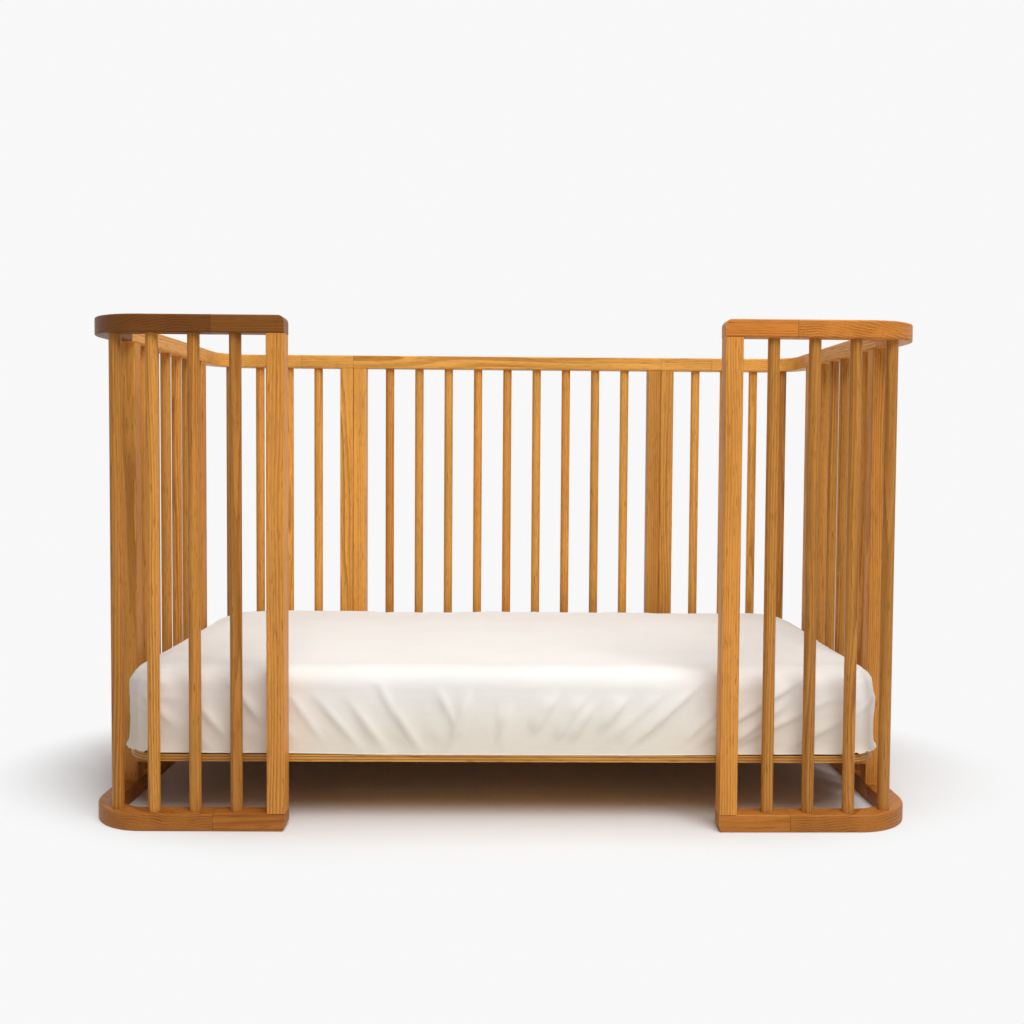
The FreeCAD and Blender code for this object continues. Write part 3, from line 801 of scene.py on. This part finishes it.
def refine_cloth(sheet):
    """Rounds the cloth's grid off and halves its faces."""
    shape = bmesh.new()
    shape.from_mesh(sheet.data)
    soften(shape, 1)
    bmesh.ops.subdivide_edges(shape, edges=shape.edges, cuts=1, use_grid_fill=True, smooth=0.0)
    soften(shape, 2)
    shape.to_mesh(sheet.data)
    shape.free()
    for polygon in sheet.data.polygons:
        polygon.use_smooth = True


def edge_loop(mesh):
    """The points of the cloth's open edge, in order."""
    shape = bmesh.new()
    shape.from_mesh(mesh)
    edge = next(e for e in shape.edges if e.is_boundary)
    start, here = edge.verts
    points = [start.co.copy()]
    while here is not start:
        points.append(here.co.copy())
        edge = next(e for e in here.link_edges if e.is_boundary and e is not edge)
        here = edge.other_vert(here)
    shape.free()
    return points


def rolled_hem(sheet):
    """A rolled hem along the sheet's open edge."""
    points = edge_loop(sheet.data)
    line = bpy.data.curves.new("hem", "CURVE")
    line.dimensions = "3D"
    line.bevel_depth = HEM_RADIUS
    line.bevel_resolution = 2
    path = line.splines.new("POLY")
    path.use_cyclic_u = True
    path.points.add(len(points) - 1)
    for node, point in zip(path.points, points):
        node.co = (*point, 1)
    mesh = finished_mesh(carry("hem", line))
    return link_piece("fitted_sheet_hem", mesh, sheet.data.materials[0])


# ---------------------------------------------------------------- operators
class CRIB_OT_wood_finish(Operator):
    """Give every wooden piece its own board, with the grain along its length"""

    bl_idname = "crib.wood_finish"
    bl_label = "Oil the wood"

    def execute(self, context):
        settings = context.scene.crib_wood
        group = wood_group(settings)
        chance = random.Random(BOARD_SEED)
        # Depth of colour and redness of each rail's front arm, front corner, end, back corner
        # and back arm.
        rails = {
            "left_top_rail": ((0.345, 0.26, 1.1, 1.15, 1.15), (0.87, 1.0, 0.1, 0.0, 0.0)),
            "right_top_rail": ((0.90, 0.86, 1.1, 1.15, 1.15), (0.87, 0.75, 0.2, 0.1, 0.0)),
            "left_bottom_rail": ((0.65, 0.62, 0.8, 0.9, 0.9), (0.86, 0.8, 0.6, 0.4, 0.4)),
            "right_bottom_rail": ((0.70, 0.66, 0.8, 0.9, 0.9), (0.8, 0.8, 0.6, 0.4, 0.4)),
        }
        for name in sorted(NODES):
            piece = NODES[name]
            if SLOTS[name] == "oiled_wood":
                if name in rails:
                    material = rail_wood(name, group, *rails[name], chance)
                else:
                    low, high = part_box(name)
                    axis = "X" if high.x - low.x > high.z - low.z else "Z"
                    tone, red = board_tone(name, chance)
                    material = plain_wood(name, group, axis, tone, red, chance, (low + high) / 2)
            elif SLOTS[name] == "plywood":
                material = plywood(name, group, chance)
            elif SLOTS[name] == "pine":
                low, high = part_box(name)
                axis = "Y" if name == "platform_bearers" else "X"
                material = plain_wood(name, group, axis, 0.9, 0.0, chance)
            else:
                continue
            piece.data.materials.clear()
            piece.data.materials.append(material)
        return {"FINISHED"}


class CRIB_OT_metal_finish(Operator):
    """Give the brackets, bolts and inserts their zinc plating"""

    bl_idname = "crib.metal_finish"
    bl_label = "Plate the steel"

    def execute(self, context):
        material = zinc_steel()
        for name in sorted(NODES):
            if SLOTS[name] == "steel":
                NODES[name].data.materials.clear()
                NODES[name].data.materials.append(material)
        return {"FINISHED"}


class CRIB_OT_mattress(Operator):
    """Make the mattress: a block with rounded corners and rims"""

    bl_idname = "crib.mattress"
    bl_label = "Make the mattress"

    def execute(self, context):
        settings = context.scene.crib_bedding
        low = BED_LOW + Vector((CORE_GAP.x, CORE_GAP.y, 0))
        shape = soft_block(low, BED_HIGH - CORE_GAP, settings.corner_radius - CORE_GAP.x,
                           settings.edge_radius - CORE_GAP.x, True)
        mesh = to_mesh(shape, "mattress_core")
        material = woven("Mattress ticking", settings.ticking_colour, 0.0018, 0.2)
        core = link_piece("mattress_core", mesh, material)
        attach(core, BEDDING)
        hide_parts("mattress")
        return {"FINISHED"}


class CRIB_OT_fitted_sheet(Operator):
    """Make the fitted sheet: cotton drawn over the mattress, with soft pulled folds"""

    bl_idname = "crib.fitted_sheet"
    bl_label = "Make the fitted sheet"

    def execute(self, context):
        settings = context.scene.crib_bedding
        shape = soft_block(BED_LOW, BED_HIGH, settings.corner_radius, settings.edge_radius, False)
        cotton = woven("Cotton sheet", settings.sheet_colour, 0.0011, 0.25, settings.hem_painted_shade)
        cloth = remeshed(to_mesh(shape, "sheet_form"), settings.cloth_grid)
        sheet = link_piece("fitted_sheet_cotton", cloth, cotton)
        open_bottom(sheet.data)
        folds = sheet_folds(settings)
        draw_in(sheet.data, settings)
        raise_folds(sheet.data, settings, folds, settings.fold_height, 1.0)
        settle(sheet, settings)
        refine_cloth(sheet)
        raise_folds(sheet.data, settings, folds, settings.crest_height, 2.1)
        keep_near(sheet.data, settings.corner_radius, settings.stand_off + 0.001)
        hem = rolled_hem(sheet)
        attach(sheet, BEDDING)
        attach(hem, BEDDING)
        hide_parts("fitted_sheet")
        return {"FINISHED"}


class CRIB_OT_stage(Operator):
    """Set up the pale floor, the soft studio light and the camera"""

    bl_idname = "crib.stage"
    bl_label = "Set the stage"

    def seen(self, tree):
        """1 on rays from the camera and on reflections, and 0 on rays that only carry light."""
        path = add_node(tree, "ShaderNodeLightPath").outputs
        return maths(tree, "MAXIMUM", path["Is Camera Ray"], path["Is Glossy Ray"])

    def floor(self):
        """A white floor that takes the crib's shadow and fades into the backdrop's white."""
        shape = bmesh.new()
        bmesh.ops.create_grid(shape, x_segments=1, y_segments=1, size=FLOOR_SIZE)
        made = carry("floor", to_mesh(shape, "floor"))
        material, tree, shader = new_material("Studio floor")
        shader.inputs["Base Color"].default_value = (*FLOOR_COLOUR, 1)
        shader.inputs["Roughness"].default_value = 0.9
        shader.inputs["Specular IOR Level"].default_value = 0.1
        white = add_node(tree, "ShaderNodeEmission", {"Color": (*BACKDROP, 1), "Strength": 1.0})
        split = split_axes(tree, object_coordinates(tree))
        reach = hypotenuse(tree, maths(tree, "DIVIDE", split[0], HALF_LENGTH),
                         maths(tree, "DIVIDE", split[1], HALF_DEPTH))
        far = remap(tree, reach, FADE_START, FADE_END)
        mix = add_node(tree, "ShaderNodeMixShader", {0: product(tree, far, self.seen(tree))})
        tree.links.new(shader.outputs[0], mix.inputs[1])
        tree.links.new(white.outputs[0], mix.inputs[2])
        output = next(node for node in tree.nodes if node.type == "OUTPUT_MATERIAL")
        tree.links.new(mix.outputs[0], output.inputs["Surface"])
        made.data.materials.append(material)

    def lamp(self, name, place, aim, size, power):
        """A soft rectangular lamp that shines from its place towards its aim."""
        light = bpy.data.lights.new(name, "AREA")
        light.shape = "RECTANGLE"
        light.size, light.size_y = size
        light.energy = power
        made = bpy.data.objects.new(name, light)
        made.location = place
        direction = Vector(aim) - Vector(place)
        made.rotation_euler = direction.to_track_quat("-Z", "Y").to_euler()
        bpy.context.scene.collection.objects.link(made)

    def world(self):
        """A dim white sky that shows as the backdrop's white."""
        world = bpy.data.worlds.new("Studio")
        bpy.context.scene.world = world
        world.use_nodes = True
        tree = world.node_tree
        tree.nodes.clear()
        soft = add_node(tree, "ShaderNodeBackground", {"Color": (1, 1, 1, 1), "Strength": AMBIENT})
        backdrop = add_node(tree, "ShaderNodeBackground", {"Color": (*BACKDROP, 1), "Strength": 1.0})
        mix = add_node(tree, "ShaderNodeMixShader", {0: self.seen(tree)})
        tree.links.new(soft.outputs[0], mix.inputs[1])
        tree.links.new(backdrop.outputs[0], mix.inputs[2])
        output = add_node(tree, "ShaderNodeOutputWorld")
        tree.links.new(mix.outputs[0], output.inputs["Surface"])

    def camera(self, settings):
        """The camera, turned by its yaw, pitch and roll."""
        data = bpy.data.cameras.new("Camera")
        data.lens = settings.lens
        data.sensor_width = 36
        data.shift_x, data.shift_y = settings.shift
        data.clip_end = 200
        made = bpy.data.objects.new("Camera", data)
        bpy.context.scene.collection.objects.link(made)
        ahead = Vector((math.sin(settings.yaw) * math.cos(settings.pitch),
                        math.cos(settings.yaw) * math.cos(settings.pitch), -math.sin(settings.pitch)))
        level = Vector((math.cos(settings.yaw), -math.sin(settings.yaw), 0))
        up = level.cross(ahead)
        right = math.cos(settings.roll) * level + math.sin(settings.roll) * up
        up = right.cross(ahead)
        turn = Matrix((right, up, -ahead)).transposed().to_4x4()
        made.matrix_world = Matrix.Translation(Vector(settings.camera_place)) @ turn
        bpy.context.scene.camera = made

    def execute(self, context):
        context.scene.view_settings.view_transform = "Standard"
        self.floor()
        self.world()
        self.lamp("key", (0.9, -2.2, 3.4), (0, 0, 0.4), (2.6, 2.2), 108)
        self.lamp("top", (0.2, 0.1, 3.5), (0, 0, 0), (3.0, 2.0), 42)
        self.camera(context.scene.crib_stage)
        return {"FINISHED"}


class CRIB_PT_panel(Panel):
    """Lists the crib's settings and steps"""

    bl_idname = "CRIB_PT_panel"
    bl_label = "Baby crib"
    bl_space_type = "VIEW_3D"
    bl_region_type = "UI"
    bl_category = "Crib"

    def draw(self, context):
        layout = self.layout
        for group, steps in (("crib_wood", ("crib.wood_finish", "crib.metal_finish")),
                             ("crib_bedding", ("crib.mattress", "crib.fitted_sheet")),
                             ("crib_stage", ("crib.stage",))):
            settings = getattr(context.scene, group)
            box = layout.box()
            for name in settings.bl_rna.properties.keys():
                if name not in {"rna_type", "name"}:
                    box.prop(settings, name)
            for step in steps:
                box.operator(step)


CLASSES = (
    WoodSettings, BeddingSettings, StageSettings,
    CRIB_OT_wood_finish, CRIB_OT_metal_finish, CRIB_OT_mattress, CRIB_OT_fitted_sheet, CRIB_OT_stage,
    CRIB_PT_panel,
)


def register():
    for each in CLASSES:
        bpy.utils.register_class(each)
    bpy.types.Scene.crib_wood = PointerProperty(type=WoodSettings)
    bpy.types.Scene.crib_bedding = PointerProperty(type=BeddingSettings)
    bpy.types.Scene.crib_stage = PointerProperty(type=StageSettings)


def unregister():
    for name in ("crib_wood", "crib_bedding", "crib_stage"):
        delattr(bpy.types.Scene, name)
    for each in reversed(CLASSES):
        bpy.utils.unregister_class(each)


def main():
    register()
    bpy.ops.crib.stage()
    bpy.ops.crib.wood_finish()
    bpy.ops.crib.metal_finish()
    bpy.ops.crib.mattress()
    bpy.ops.crib.fitted_sheet()


if __name__ == "__main__":
    main()
